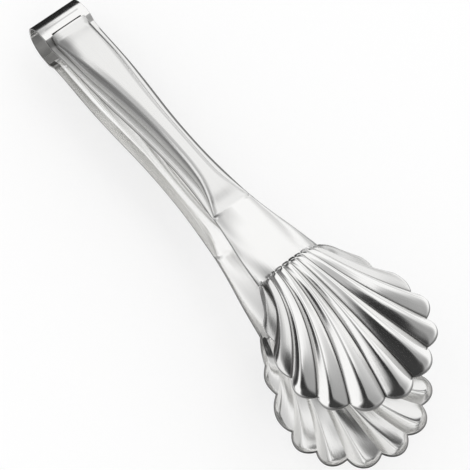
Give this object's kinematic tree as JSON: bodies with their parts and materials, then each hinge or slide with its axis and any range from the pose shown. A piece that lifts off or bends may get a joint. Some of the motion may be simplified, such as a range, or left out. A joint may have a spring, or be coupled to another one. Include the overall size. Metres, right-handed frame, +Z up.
{
  "type": "serving tongs",
  "caption": "Sprung serving tongs with two scalloped shell bowls that close as the channelled handles are squeezed.",
  "frame": {"origin": "the middle of the tongs' bounding box, on the surface that they lie on", "axes": "+X from the spring bow to the tip of the bowls, +Y across the strip, +Z up from the surface that the lower arm lies on"},
  "size_m": [0.2466, 0.0682, 0.086],
  "materials": {
    "bow_steel": "polished stainless steel strip",
    "arm_steel": "polished stainless steel with a satin grain"
  },
  "bodies": {
    "bow": {"spring_bow": "bow_steel"},
    "upper": {"upper_arm": "arm_steel"},
    "lower": {"lower_arm": "arm_steel"}
  },
  "joints": [
    {"name": "upper_flex", "type": "hinge", "parent": "bow", "child": "upper", "pos_m": [-0.11269, 0, 0.0269], "axis": [0, 1, 0], "range_deg": [0, 7], "stiffness_Nm_per_rad": 13.7},
    {"name": "lower_flex", "type": "hinge", "parent": "bow", "child": "lower", "pos_m": [-0.1098, 0, 0.006], "axis": [0, -1, 0], "range_deg": [0, 7], "stiffness_Nm_per_rad": 13.7}
  ],
  "couplings": [
    {"joint": "lower_flex", "follows": "upper_flex", "ratio": 1}
  ]
}
